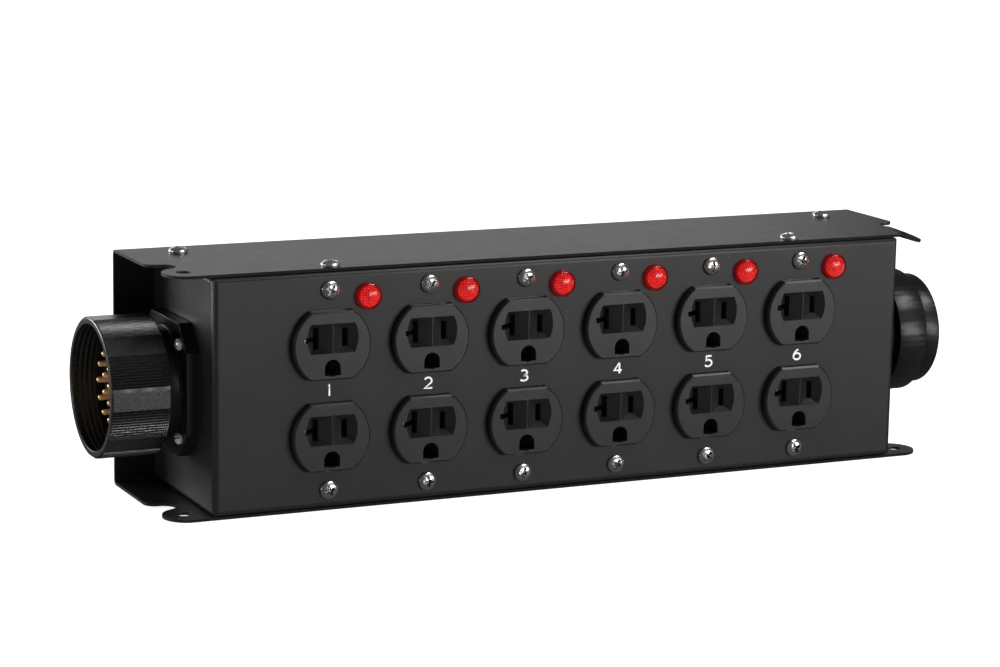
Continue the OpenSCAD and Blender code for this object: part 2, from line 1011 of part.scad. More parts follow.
module inlet_pins() {
    color([0.85, 0.65, 0.3])
    on_inlet_end()
        at_contacts() {
            translate([0, 0, pin_back])
                cylinder(r = pin_r, h = pin_tip - pin_r - pin_back);
            translate([0, 0, pin_tip - pin_r])
                sphere(pin_r);
        }
}

module coupling_ring() {
    color([0.14, 0.14, 0.14])
    on_inlet_end()
        difference() {
            translate([0, 0, ring_back])
                cylinder(r = ring_r, h = ring_len);
            translate([0, 0, ring_back - 1])
                cylinder(r = shell_r + ring_fit, h = ring_len + 2);
            translate([0, 0, ring_back + ring_wall])
                cylinder(r = ring_bore_r, h = ring_len);
            // Grip flats between the knurled stretches
            for (i = [0 : ring_flats - 1])
                rotate(i * 360 / ring_flats)
                    translate([ring_r - ring_flat_depth, -ring_r / 2, ring_back - 1])
                        cube([ring_r, ring_r, ring_len + 2]);
        }
}

module ring_retainer() {
    color([0.5, 0.5, 0.5])
    on_inlet_end()
        difference() {
            translate([0, 0, groove_z])
                tube(retainer_r, retainer_bore_r, retainer_t);
            // The gap that lets the ring spring open
            translate([-retainer_gap / 2, 0, groove_z - 1])
                cube([retainer_gap, retainer_r + 1, retainer_t + 2]);
        }
}

module inlet_screws() {
    on_inlet_end()
        connector_screws();
}

module inlet_nuts() {
    on_inlet_end()
        connector_nuts();
}

module outlet_gasket() {
    on_outlet_end()
        connector_gasket(spigot_r + 0.1);
}

module outlet_shell() {
    color([0.1, 0.1, 0.1])
    on_outlet_end()
        difference() {
            union() {
                connector_flange();
                neck_fillet(neck_fillet_r);
                cylinder(r = neck_r, h = collar_back + 1);
                translate([0, 0, collar_back])
                    cylinder(r = collar_r, h = collar_front - collar_back);
                cylinder(r = barrel_r, h = barrel_front - barrel_edge);
                translate([0, 0, barrel_front - barrel_edge])
                    cylinder(r1 = barrel_r, r2 = barrel_r - barrel_edge, h = barrel_edge);
                translate([0, 0, -spigot_len])
                    cylinder(r = spigot_r, h = spigot_len + flange_face);
            }
            ring_of(flange_w, spigot_r, -spigot_len - 1, gasket_t);
            // Behind the collar the neck is slimmer than the barrel
            ring_of(barrel_r + 1, neck_r, flange_face + 1, collar_back);
            // Seam groove where the collar meets the barrel
            ring_of(collar_r + 1, barrel_r - seam, collar_front, collar_front + seam);
            translate([0, 0, -spigot_len - 1])
                cylinder(r = shell_bore_r, h = collar_front);
            translate([0, 0, collar_back])
                cylinder(r = outlet_bore_r, h = barrel_front);
        }
}

module outlet_insert() {
    color([0.06, 0.06, 0.06])
    on_outlet_end()
        difference() {
            union() {
                translate([0, 0, insert_back])
                    cylinder(r = shell_bore_r, h = collar_back - insert_back);
                translate([0, 0, collar_back - 0.01])
                    cylinder(r = outlet_insert_r, h = outlet_insert_face - collar_back);
            }
            at_contacts() {
                translate([0, 0, insert_back - 1])
                    cylinder(r = socket_r, h = outlet_insert_face - insert_back);
                cylinder(r = socket_bore_r + 0.2, h = outlet_insert_face + 1);
            }
        }
}

module outlet_sockets() {
    color([0.85, 0.65, 0.3])
    on_outlet_end()
        at_contacts()
            difference() {
                translate([0, 0, pin_back])
                    cylinder(r = socket_r, h = outlet_insert_face - 1 - pin_back);
                translate([0, 0, outlet_insert_face - socket_depth])
                    cylinder(r = socket_bore_r, h = socket_depth + 1);
            }
}

module outlet_screws() {
    on_outlet_end()
        connector_screws();
}

module outlet_nuts() {
    on_outlet_end()
        connector_nuts();
}

// ---------------------------------------------------------------- wiring

module ground_stud() {
    color([0.75, 0.75, 0.73])
    translate([stud_x, inner_back_y + 0.6, stud_z])
        rotate([90, 0, 0])
            cylinder(r = stud_r, h = stud_len);
}

module ground_stud_nuts() {
    color([0.7, 0.7, 0.68])
    for (y = [inner_back_y - stud_nut_h, inner_back_y - 8])
        translate([stud_x, y, stud_z])
            inward()
                difference() {
                    hex_prism(stud_nut_af, stud_nut_h);
                    translate([0, 0, -1])
                        cylinder(r = stud_r + 0.05, h = stud_nut_h + 2);
                }
}

module ground_lug() {
    color([0.75, 0.5, 0.3])
    translate([stud_x, inner_back_y - 4.5, stud_z])
        difference() {
            union() {
                inward()
                    cylinder(r = lug_r, h = lug_t);
                translate([0, 0, -lug_w / 2])
                    cube([lug_len, lug_t, lug_w]);
            }
            translate([0, -1, 0])
                inward()
                    cylinder(r = stud_r + 0.05, h = lug_t + 2);
        }
}

module rod(a, b) {
    d = b - a;
    translate(a)
        rotate([0, atan2(norm([d[0], d[1]]), d[2]), atan2(d[1], d[0])])
            cylinder(r = wire_r, h = norm(d), $fn = wire_facets);
}

// Round corner of a wire
module knuckle(p) {
    translate(p)
        sphere(wire_r, $fn = wire_facets);
}

// A wire for every receptacle: it runs from end to end of the box, and a tap
// drops from it and goes forward to the receptacle's terminal
module wires(side, terminal_h, rise) {
    z_tap = mid_z + terminal_h;
    z_run = z_tap + rise;
    for (i = COLUMNS) {
        y = wire_first_y + (i - 1) * wire_pitch;
        x = column_x(i) + side * wire_out;
        run = [x, y, z_run];
        corner = [x, y, z_tap];
        terminal = [x, front_y + terminal_depth, z_tap];
        rod([-wire_end_x, y, z_run], [wire_end_x, y, z_run]);
        rod(run, corner);
        knuckle(corner);
        rod(corner, terminal);
        knuckle(terminal);
    }
}

module hot_wires() {
    color([0.1, 0.1, 0.1])
        wires(1, terminal_z, hot_rise);
}

module neutral_wires() {
    color([0.9, 0.9, 0.88])
        wires(-1, -terminal_z, -hot_rise);
}

module ground_wires() {
    color([0.1, 0.45, 0.2])
        wires(-1, ground_terminal_z, ground_rise);
}

// ---------------------------------------------------------------- parts

front_pan();
rear_cover();
cover_screws_top();
cover_screws_bottom();
cover_weld_nuts();
receptacle_screws();
for (i = COLUMNS) {
    at_column(i) receptacle_face();
    at_column(i) receptacle_base();
    at_column(i) receptacle_strap();
    at_column(i) lamp_lens();
}
hot_contacts();
neutral_contacts();
ground_contacts();
hot_terminal_screws();
neutral_terminal_screws();
ground_terminal_screws();
lamp_bodies();
lamp_clips();
neon_bulbs();
inlet_gasket();
inlet_shell();
inlet_insert();
inlet_pins();
coupling_ring();
ring_retainer();
inlet_screws();
inlet_nuts();
outlet_gasket();
outlet_shell();
outlet_insert();
outlet_sockets();
outlet_screws();
outlet_nuts();
ground_stud();
ground_stud_nuts();
ground_lug();
hot_wires();
neutral_wires();
ground_wires();
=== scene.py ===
import math

import bmesh
import bpy
from mathutils import Matrix, Vector


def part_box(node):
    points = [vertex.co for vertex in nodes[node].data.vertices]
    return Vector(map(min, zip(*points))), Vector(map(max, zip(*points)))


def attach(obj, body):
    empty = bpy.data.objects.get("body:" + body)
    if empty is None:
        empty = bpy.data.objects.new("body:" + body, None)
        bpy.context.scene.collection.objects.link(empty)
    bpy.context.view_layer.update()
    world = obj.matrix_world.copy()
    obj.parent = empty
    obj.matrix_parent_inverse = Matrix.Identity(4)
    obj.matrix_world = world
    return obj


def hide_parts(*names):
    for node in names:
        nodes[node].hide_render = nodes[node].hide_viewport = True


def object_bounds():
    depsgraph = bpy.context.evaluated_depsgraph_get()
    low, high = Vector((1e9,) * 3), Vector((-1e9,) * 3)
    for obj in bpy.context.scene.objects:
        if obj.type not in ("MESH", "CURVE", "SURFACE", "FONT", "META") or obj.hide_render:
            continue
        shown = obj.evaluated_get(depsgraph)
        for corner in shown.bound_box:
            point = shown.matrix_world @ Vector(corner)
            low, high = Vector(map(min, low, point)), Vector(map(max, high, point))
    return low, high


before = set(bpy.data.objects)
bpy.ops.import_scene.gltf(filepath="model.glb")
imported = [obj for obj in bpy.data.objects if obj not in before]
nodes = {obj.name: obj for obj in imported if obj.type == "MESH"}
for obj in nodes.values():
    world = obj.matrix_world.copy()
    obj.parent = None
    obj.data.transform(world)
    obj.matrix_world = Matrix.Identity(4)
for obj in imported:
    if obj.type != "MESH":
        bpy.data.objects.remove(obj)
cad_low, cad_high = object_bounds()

MM = 0.001
scene = bpy.context.scene

# Sizes that the CAD nodes' boxes don't give, in millimetres

# Coupling ring: its inside, measured like RING_WALL from the ring's back
RING_WALL = 5.0
RING_BORE_R = 26.7
RING_MOUTH_R = 26.1
RING_HOLE_R = 21.6
MOUTH_LENGTH = 1.4
THREAD_PITCH = 2.2
THREAD_DEPTH = 0.35
THREAD_TURNS = 4
THREAD_ROWS = 58

# Coupling ring: its outside, with flats and ribbed stretches in turn
RIM_STEP = 0.7
FLATS = 8
SECTOR = 2 * math.pi / FLATS
FLAT_DEPTH = 0.36
FLAT_STEPS = 6
GRIP_ROWS = 48
RIB_PITCH = 1.2
RIB_STEPS = 6
RIB_DEPTH = 1.1
# Share of a rib's height that its crest loses, and the length that repeats in
RIB_DIP = 0.1
RIB_BEAT = 9.0

# Lamps
LENS_WALL = 0.9
LENS_SIDES = 48
PRISM_SHARE = 0.74
PRISM_PITCH = 1.5
PRISM_DIAGONAL = 1.414

# Digits
DIGIT_HEIGHT = 4.5
DIGIT_STROKE = 0.78
INK_DEPTH = 0.08
INK_LAYER = 0.02

# Screws: head radius, head height, shank radius and shank length
DEVICE_SCREW = (3.95, 2.2, 1.7, 6.5)
COVER_SCREW = (4.1, 2.55, 1.8, 6.0)
FLANGE_SCREW = (2.5, 2.4, 1.5, 8.0)
# Radius of the CAD heads on the flanges, and the flanges' front from the end panel
FLANGE_HEAD_R = 2.7
FLANGE_FACE = 5.8
# Where the front screws on top are, as a share of the way to the end panel
FRONT_SCREW_SHARE = 0.672

# The cover's front edges stand just in front of this plane, where their sheen is taken off as
# painted shade
SHADED_EDGE_Y = -36.6

# One receptacle, lamp and digit in each
COLUMNS = range(1, 7)

# How far the edges of the seen CAD nodes are eased
EASED = {"rear_cover": 0.35, "front_pan": 0.25, "inlet_shell": 0.35, "outlet_shell": 0.35}
EASED.update({f"receptacle_face_{i}": 0.25 for i in COLUMNS})


# ---------------------------------------------------------------- materials

class Finish:
    """A Principled material whose colour, roughness and relief come from noise
    in the piece's own coordinates, with every size in millimetres."""

    def __init__(self, name, metallic=0.0, ior=1.5):
        self.material = bpy.data.materials.new(name)
        self.material.use_nodes = True
        self.tree = self.material.node_tree
        self.shader = self.tree.nodes["Principled BSDF"]
        self.shader.inputs["Metallic"].default_value = metallic
        self.shader.inputs["IOR"].default_value = ior
        self.place = self.tree.nodes.new("ShaderNodeTexCoord").outputs["Object"]
        self.bump = None

    def join(self, output, socket):
        self.tree.links.new(output, socket)

    def noise(self, size, stretch=(1, 1, 1), detail=2.0):
        """Noise with features of that size, longer along each axis by stretch."""
        mapping = self.tree.nodes.new("ShaderNodeMapping")
        mapping.inputs["Scale"].default_value = [1 / (MM * size * s) for s in stretch]
        self.join(self.place, mapping.inputs["Vector"])
        noise = self.tree.nodes.new("ShaderNodeTexNoise")
        noise.inputs["Scale"].default_value = 1.0
        noise.inputs["Detail"].default_value = detail
        self.join(mapping.outputs["Vector"], noise.inputs["Vector"])
        return noise.outputs["Fac"]

    def ramp(self, value, dark, light):
        """Colours from dark to light over the middle of the noise's range."""
        ramp = self.tree.nodes.new("ShaderNodeValToRGB")
        ends = ramp.color_ramp.elements
        ends[0].position = 0.3
        ends[0].color = (*dark, 1)
        ends[1].position = 0.7
        ends[1].color = (*light, 1)
        self.join(value, ramp.inputs["Fac"])
        return ramp.outputs["Color"]

    def paint(self, dark, light, patch=30, grain=0.5, speck=0.15, stretch=(1, 1, 1)):
        """Slow patches between two colours, with a finer speckle over them."""
        mix = self.tree.nodes.new("ShaderNodeMix")
        mix.data_type = "RGBA"
        mix.blend_type = "MULTIPLY"
        mix.inputs["Factor"].default_value = 1.0
        self.join(self.ramp(self.noise(patch, stretch), dark, light), mix.inputs["A"])
        fine = self.noise(grain, stretch)
        self.join(self.ramp(fine, [1 - speck] * 3, [1] * 3), mix.inputs["B"])
        self.join(mix.outputs["Result"], self.shader.inputs["Base Color"])
        return self

    def polish(self, low, high, size=6, stretch=(1, 1, 1)):
        """Roughness between low and high."""
        span = self.tree.nodes.new("ShaderNodeMapRange")
        span.inputs["From Min"].default_value = 0.3
        span.inputs["From Max"].default_value = 0.7
        span.inputs["To Min"].default_value = low
        span.inputs["To Max"].default_value = high
        self.join(self.noise(size, stretch), span.inputs["Value"])
        self.join(span.outputs["Result"], self.shader.inputs["Roughness"])
        return self

    def relief(self, size, depth, stretch=(1, 1, 1)):
        """Fine unevenness of that depth, added to any before it."""
        bump = self.tree.nodes.new("ShaderNodeBump")
        bump.inputs["Strength"].default_value = 1.0
        bump.inputs["Distance"].default_value = depth * MM
        self.join(self.noise(size, stretch), bump.inputs["Height"])
        if self.bump:
            self.join(self.bump, bump.inputs["Normal"])
        self.bump = bump.outputs["Normal"]
        self.join(self.bump, self.shader.inputs["Normal"])
        return self

    def painted_glow(self, size, dark, light, strength):
        """Painted light: a soft glow in small diamonds of that size, seen along Y."""
        mapping = self.tree.nodes.new("ShaderNodeMapping")
        mapping.inputs["Rotation"].default_value = (0, math.radians(45), 0)
        mapping.inputs["Scale"].default_value = [1 / (MM * size), 0, 1 / (MM * size)]
        self.join(self.place, mapping.inputs["Vector"])
        checks = self.tree.nodes.new("ShaderNodeTexChecker")
        checks.inputs["Scale"].default_value = 1.0
        checks.inputs["Color1"].default_value = (*dark, 1)
        checks.inputs["Color2"].default_value = (*light, 1)
        self.join(mapping.outputs["Vector"], checks.inputs["Vector"])
        self.join(checks.outputs["Color"], self.shader.inputs["Emission Color"])
        return self.set(Emission_Strength=strength)

    def painted_edge_shade(self, limit):
        """Painted shade: takes the sheen off the cut edge of the sheet, in front of that Y, so
        that it reads as a dark line.
        """
        split = self.tree.nodes.new("ShaderNodeSeparateXYZ")
        self.join(self.place, split.inputs["Vector"])
        sheen = self.tree.nodes.new("ShaderNodeMapRange")
        sheen.inputs["From Min"].default_value = limit * MM
        sheen.inputs["From Max"].default_value = (limit + 0.1) * MM
        sheen.inputs["To Min"].default_value = 0.06
        sheen.inputs["To Max"].default_value = 0.5
        self.join(split.outputs["Y"], sheen.inputs["Value"])
        self.join(sheen.outputs["Result"], self.shader.inputs["Specular IOR Level"])
        return self

    def set(self, **sockets):
        """Values that are the same all over, by socket name."""
        for name, value in sockets.items():
            self.shader.inputs[name.replace("_", " ")].default_value = value
        return self


def powder_coat(name, dark, light, rough):
    """Satin paint with a fine orange-peel texture."""
    return (Finish(name, ior=1.38)
            .paint(dark, light, patch=35, grain=0.45, speck=0.25)
            .polish(rough - 0.01, rough + 0.02, size=9)
            .relief(1.6, 0.006)
            .relief(0.45, 0.006))


def moulding(name, dark, light, rough):
    """Moulded plastic or rubber, very slightly wavy."""
    return (Finish(name, ior=1.52)
            .paint(dark, light, patch=14, grain=0.25, speck=0.12)
            .polish(rough - 0.01, rough + 0.02, size=4)
            .relief(0.3, 0.004)
            .relief(8, 0.004))


def powder_coat_with_edge_shade(name, dark, light, rough):
    """The cover's paint, with painted shade on its cut front edges, whose sheen is taken off."""
    return powder_coat(name, dark, light, rough).painted_edge_shade(SHADED_EDGE_Y)


def plated(name, dark, light, rough, metallic=1.0, stretch=(1, 1, 1)):
    """Plated or bare metal, with its grain longer along each axis by stretch."""
    return (Finish(name, metallic)
            .paint(dark, light, patch=3, grain=0.3, speck=0.05, stretch=stretch)
            .polish(rough - 0.04, rough + 0.06, size=1.2, stretch=stretch)
            .relief(0.35, 0.0015, stretch))


def anodised(name, dark, light, rough, ior):
    """Black anodised aluminium with a speckled, dusty surface."""
    return (Finish(name, ior=ior)
            .paint(dark, light, patch=6, grain=0.22, speck=0.45)
            .polish(rough - 0.05, rough + 0.08, size=0.5)
            .relief(0.25, 0.003))


def insulation(name, dark, light):
    """A wire's smooth plastic cover."""
    return (Finish(name)
            .paint(dark, light, patch=12, grain=0.4, speck=0.08, stretch=(4, 1, 1))
            .polish(0.32, 0.42, size=2)
            .relief(0.6, 0.01))


def red_lens(name):
    """Clear tinted acrylic, with the faint waviness of a moulded dome and a faint painted red
    glow.
    """
    return (Finish(name, ior=1.36)
            .paint((0.95, 0.16, 0.15), (1.0, 0.22, 0.2), patch=4, grain=0.6, speck=0.05)
            .polish(0.14, 0.2, size=2)
            .relief(3, 0.002)
            .set(Transmission_Weight=1.0)
            # A faint painted red glow over the whole lens
            .set(Emission_Color=(1.0, 0.02, 0.03, 1), Emission_Strength=0.06))


def red_prisms(name):
    """The red plastic behind the lens, with painted light in diamonds for the light its prisms
    gather.
    """
    return (Finish(name, ior=1.49)
            .paint((0.4, 0.015, 0.02), (0.55, 0.06, 0.06), patch=2, grain=0.5, speck=0.1)
            .polish(0.1, 0.2, size=1)
            .relief(0.4, 0.004)
            # Painted light in diamonds, standing in for light the prisms gather
            .painted_glow(PRISM_PITCH / 2, (0.02, 0.0, 0.001), (1.0, 0.34, 0.36), 0.24))


def neon_glass(name):
    """Warm tinted glass of the small bulbs."""
    return (Finish(name, ior=1.5)
            .paint((0.9, 0.55, 0.4), (1.0, 0.7, 0.5), patch=3, grain=0.6, speck=0.05)
            .polish(0.03, 0.08, size=2)
            .relief(1.5, 0.005)
            .set(Transmission_Weight=0.8))


def white_ink(name):
    """Slightly chalky screen-printing ink."""
    return (Finish(name)
            .paint((0.82, 0.82, 0.8), (0.93, 0.93, 0.91), patch=1.5, grain=0.2, speck=0.06)
            .polish(0.45, 0.6, size=0.6)
            .relief(0.3, 0.008))


def floor_paper(name):
    """Pale studio paper, lit a little from within so that it stays even."""
    return (Finish(name)
            .paint((0.93, 0.93, 0.93), (0.96, 0.96, 0.96), patch=60, grain=1.5, speck=0.02)
            .polish(0.85, 0.95, size=20)
            .relief(1.2, 0.02)
            .set(Emission_Color=(1, 1, 1, 1), Emission_Strength=0.85))


NICKEL = ((0.62, 0.61, 0.58), (0.78, 0.77, 0.74))
BRASS = ((0.62, 0.42, 0.16), (0.78, 0.56, 0.24))

# For each slot of the record: its kind of finish, then that builder's values
SLOT_FINISHES = {
    "pan_powder_coat": (powder_coat, (0.011, 0.0095, 0.0095), (0.014, 0.012, 0.012), 0.38),
    # The cover gets painted shade on its front edges
    "cover_powder_coat": (powder_coat_with_edge_shade, (0.009, 0.009, 0.009), (0.012, 0.012, 0.012), 0.42),
    "cover_screw_steel": (plated, *NICKEL, 0.24, 0.92),
    "nut_steel": (plated, (0.5, 0.5, 0.48), (0.66, 0.65, 0.62), 0.35),
    "device_screw_steel": (plated, (0.74, 0.73, 0.7), (0.88, 0.87, 0.84), 0.22),
    "device_face_nylon": (moulding, (0.008, 0.0082, 0.0086), (0.01, 0.0102, 0.0108), 0.3),
    "device_base_nylon": (moulding, (0.02, 0.02, 0.022), (0.03, 0.03, 0.032), 0.5),
    "strap_steel": (plated, (0.5, 0.5, 0.47), (0.64, 0.63, 0.6), 0.38),
    "contact_brass": (plated, *BRASS, 0.3),
    "neutral_brass": (plated, (0.64, 0.57, 0.38), (0.76, 0.68, 0.5), 0.32),
    "hot_screw_brass": (plated, *BRASS, 0.28),
    "neutral_screw_nickel": (plated, *NICKEL, 0.28),
    "ground_screw_green": (plated, (0.05, 0.3, 0.1), (0.09, 0.42, 0.16), 0.35),
    "lens_red": (red_lens,),
    "lamp_body_nylon": (moulding, (0.02, 0.02, 0.02), (0.028, 0.028, 0.028), 0.45),
    "clip_steel": (plated, (0.5, 0.5, 0.48), (0.68, 0.67, 0.65), 0.3, 1.0, (1, 4, 1)),
    "neon_glass": (neon_glass,),
    "gasket_rubber": (moulding, (0.012, 0.012, 0.012), (0.018, 0.018, 0.018), 0.75),
    "connector_anodised": (anodised, (0.006, 0.006, 0.006), (0.009, 0.0088, 0.0086), 0.33, 1.38),
    "ring_anodised": (anodised, (0.004, 0.004, 0.004), (0.007, 0.0068, 0.0066), 0.3, 1.8),
    "insert_plastic": (moulding, (0.008, 0.008, 0.009), (0.012, 0.012, 0.013), 0.5),
    "pin_gold": (plated, (0.86, 0.5, 0.22), (1.0, 0.68, 0.36), 0.3, 0.65, (0.2, 2, 2)),
    "retainer_steel": (plated, (0.4, 0.4, 0.39), (0.55, 0.54, 0.52), 0.3),
    "connector_screw_steel": (plated, (0.7, 0.7, 0.68), (0.84, 0.83, 0.81), 0.26, 0.7),
    "lug_copper": (plated, (0.66, 0.4, 0.28), (0.82, 0.54, 0.4), 0.32),
    "wire_hot": (insulation, (0.02, 0.02, 0.02), (0.03, 0.03, 0.03)),
    "wire_neutral": (insulation, (0.7, 0.69, 0.66), (0.8, 0.79, 0.76)),
    "wire_ground": (insulation, (0.03, 0.22, 0.06), (0.05, 0.3, 0.09)),
}
SLOTS = {name: build(name, *values) for name, (build, *values) in SLOT_FINISHES.items()}
PRISMS = red_prisms("lamp_prisms")
INK = white_ink("white_ink")


# ---------------------------------------------------------------- mesh helpers

def outward_mesh(name, vertices, faces, smooth=False):
    """A closed mesh with every face looking outward."""
    mesh = bpy.data.meshes.new(name)
    mesh.from_pydata(vertices, [], faces)
    work = bmesh.new()
    work.from_mesh(mesh)
    bmesh.ops.recalc_face_normals(work, faces=work.faces)
    for face in work.faces:
        face.smooth = smooth
    work.to_mesh(mesh)
    work.free()
    return mesh


def add_object(name, data):
    """A new object in the scene that shows that mesh, light or camera."""
    obj = bpy.data.objects.new(name, data)
    scene.collection.objects.link(obj)
    return obj


def piece(name, vertices, faces, body, finish, smooth=0):
    """A closed mesh that rides on that body, smooth over bends up to that many degrees."""
    mesh = outward_mesh(name, vertices, faces, smooth > 0)
    if smooth:
        mesh.set_sharp_from_angle(angle=math.radians(smooth))
    mesh.materials.append(finish.material)
    obj = add_object(name, mesh)
    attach(obj, body)
    return obj


def grid_faces(rows, columns, closed_rows, closed_columns):
    """Quads between neighbouring rows and columns of a grid of vertices."""
    faces = []
    for i in range(rows if closed_rows else rows - 1):
        for j in range(columns if closed_columns else columns - 1):
            k = (i + 1) % rows
            m = (j + 1) % columns
            faces.append((i * columns + j, i * columns + m, k * columns + m, k * columns + j))
    return faces


def spread(low, high, count):
    """That many values from low to high, both included."""
    return [low + (high - low) * k / (count - 1) for k in range(count)]


def arc(cx, cy, rx, ry, start, end, count=14):
    """Points of an elliptical arc, with its angles in degrees."""
    return [(cx + rx * math.cos(math.radians(a)), cy + ry * math.sin(math.radians(a)))
            for a in spread(start, end, count)]


# ---------------------------------------------------------------- coupling ring

def grip_layout(radius):
    """Half a flat's angle, the angle of a ribbed stretch, and its count of ribs."""
    half_flat = math.acos(1 - FLAT_DEPTH / radius)
    ribbed = SECTOR - 2 * half_flat
    return half_flat, ribbed, round(ribbed * radius / RIB_PITCH)


def grip_angles(radius):
    """Angles round the ring: close together over the ribs, wide on the flats."""
    half_flat, ribbed, ribs = grip_layout(radius)
    angles = []
    for i in range(FLATS):
        middle = i * SECTOR
        edge = middle + half_flat
        angles += spread(middle - half_flat, edge, FLAT_STEPS + 1)[:-1]
        angles += spread(edge, edge + ribbed, RIB_STEPS * ribs + 1)[:-1]
    return angles


def wave(value):
    """A triangle wave: 1 at whole numbers, 0 half way between them."""
    return abs(2 * (value % 1) - 1)


def grip_radius(radius, layout, angle, along):
    """Radius of the outside: flats, and between them ribs whose crests dip in turn."""
    half_flat, ribbed, ribs = layout
    off = (angle + half_flat) % SECTOR - half_flat
    if off < half_flat:
        return (radius - FLAT_DEPTH) / math.cos(off)
    place = (off - half_flat) / ribbed * ribs
    crest = 1 - RIB_DIP * wave(along / RIB_BEAT + 0.5 * round(place))
    return radius - RIB_DEPTH * (1 - wave(place) * crest)


def thread_radius(angle, along):
    """Radius of the bore, with a coarse rounded thread cut into it."""
    turn = (along / THREAD_PITCH - angle / (2 * math.pi)) % 1
    crest = 0.5 + 0.5 * math.cos(2 * math.pi * turn)
    return RING_BORE_R - THREAD_DEPTH * crest ** 1.6


def plain(along, radius):
    """A round section of the ring: its place along the axis, and its radius."""
    return along, lambda angle: radius


def ring_sections(length, radius):
    """Sections right round the ring's wall, each with its place from the back and
    a function that gives its radius at an angle."""
    layout = grip_layout(radius)
    # Outside, from the back to the rim
    sections = [plain(0, radius - RIM_STEP - 0.1)]
    for along in spread(RIM_STEP, length - RIM_STEP, GRIP_ROWS):
        sections.append((along, lambda a, s=along: grip_radius(radius, layout, a, s)))
    sections.append(plain(length - 0.15, radius - RIM_STEP))
    sections.append(plain(length, radius - RIM_STEP - 0.3))
    # Rim and mouth
    sections.append(plain(length, RING_MOUTH_R + 0.3))
    sections.append(plain(length - 0.3, RING_MOUTH_R))
    sections.append(plain(length - MOUTH_LENGTH, RING_MOUTH_R))
    # Threaded bore, from the mouth inwards
    first = length - MOUTH_LENGTH - 0.3
    for along in spread(first, first - THREAD_TURNS * THREAD_PITCH, THREAD_ROWS):
        sections.append((along, lambda a, s=along: thread_radius(a, s)))
    # Smooth end of the bore, and the hole in the back wall
    sections.append(plain(RING_WALL + 0.6, RING_BORE_R))
    sections.append(plain(RING_WALL, RING_BORE_R - 0.6))
    sections.append(plain(RING_WALL, RING_HOLE_R + 0.4))
    sections.append(plain(RING_WALL - 0.4, RING_HOLE_R))
    sections.append(plain(0, RING_HOLE_R))
    return sections


def coupling_grip():
    """The coupling ring with its ribs, flats and thread."""
    low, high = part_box("coupling_ring")
    length = (high.x - low.x) / MM
    radius = (high.y - low.y) / 2 / MM + FLAT_DEPTH
    sections = ring_sections(length, radius)
    centre_y = (low.y + high.y) / 2
    centre_z = (low.z + high.z) / 2
    angles = grip_angles(radius)
    vertices = []
    for along, radius_at in sections:
        x = high.x - along * MM
        for angle in angles:
            r = radius_at(angle) * MM
            y = centre_y - r * math.cos(angle)
            z = centre_z + r * math.sin(angle)
            vertices.append((x, y, z))
    faces = grid_faces(len(sections), len(angles), True, True)
    obj = piece("coupling_grip", vertices, faces, "coupling",
                SLOTS["ring_anodised"], 20)
    # The flats are plane, so their edges with the ribs stay crisp
    for face in obj.data.polygons:
        row, column = divmod(face.index, len(angles))
        if row < GRIP_ROWS and column % (len(angles) // FLATS) < FLAT_STEPS:
            face.use_smooth = False
    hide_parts("coupling_ring")


# ---------------------------------------------------------------- lamps

def lens_profile(radius, height, inset):
    """Radius and height points of a dome with a rounded shoulder, inset all over."""
    shoulder = 1.6
    crown = 1.0
    steps = 8
    r = radius - inset
    top = height - inset
    bend = arc(r - shoulder, top - crown - shoulder, shoulder, shoulder, 0, 70, steps)
    edge_r, edge_height = bend[-1]
    dome = []
    for k in range(1, steps):
        share = 1 - k / steps
        dome.append((edge_r * share, edge_height + (top - edge_height) * (1 - share ** 2)))
    return [(r, 0)] + bend + dome + [(0.02, top)]


def turned(centre, profile):
    """Vertices of a surface turned about the Y axis through centre, facing -Y."""
    vertices = []
    for r, h in profile:
        for k in range(LENS_SIDES):
            a = 2 * math.pi * k / LENS_SIDES
            offset = Vector((r * math.cos(a), -h, r * math.sin(a)))
            vertices.append(centre + offset * MM)
    return vertices


def lamp_lens(i):
    """A lamp's hollow red lens, and the prisms behind it."""
    node = f"lamp_lens_{i}"
    low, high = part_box(node)
    radius = (high.z - low.z) / 2 / MM
    height = (high.y - low.y) / MM
    centre = Vector(((low.x + high.x) / 2, high.y, (low.z + high.z) / 2))
    outer = lens_profile(radius, height, 0)
    inner = lens_profile(radius, height, LENS_WALL)
    profile = outer + inner[::-1]
    faces = grid_faces(len(profile), LENS_SIDES, True, True)
    lens = piece(f"lens_{i}", turned(centre, profile), faces, "root",
                 SLOTS["lens_red"], 35)
    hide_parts(node)
    prism_plate(i, centre, radius * PRISM_SHARE)


def prism_plate(i, centre, radius):
    """The pyramids moulded behind the dome, as a round plate with a slight crown."""
    base = 1.0
    tall = 0.5
    crown = 0.75
    steps = 4 * math.ceil(2 * radius / PRISM_PITCH)
    line = spread(-radius, radius, steps + 1)
    vertices = []
    for z in line:
        for x in line:
            # Squeeze the square grid into the disc
            grow = max(abs(x), abs(z)) / max(math.hypot(x, z), 1e-6)
            u = x * grow
            v = z * grow
            swell = crown * (1 - (u * u + v * v) / (radius * radius))
            pyramid = min(wave((u + v) / PRISM_PITCH / PRISM_DIAGONAL),
                          wave((u - v) / PRISM_PITCH / PRISM_DIAGONAL))
            height = base + swell + tall * pyramid
            vertices.append(centre + Vector((u, -height, v)) * MM)
    count = len(line)
    faces = grid_faces(count, count, False, False)
    # Right round the grid's edge, then down to a flat underside
    edge = list(range(count))
    edge += [k * count + count - 1 for k in range(1, count)]
    edge += [(count - 1) * count + k for k in range(count - 2, -1, -1)]
    edge += [k * count for k in range(count - 2, 0, -1)]
    start = len(vertices)
    for k in edge:
        below = vertices[k].copy()
        below.y = centre.y - (base - 0.15) * MM
        vertices.append(below)
    size = len(edge)
    for k in range(size):
        m = (k + 1) % size
        faces.append((edge[k], edge[m], start + m, start + k))
    faces.append(tuple(range(start, start + size)))
    piece(f"lens_prisms_{i}", vertices, faces, "root", PRISMS)


# ---------------------------------------------------------------- digits

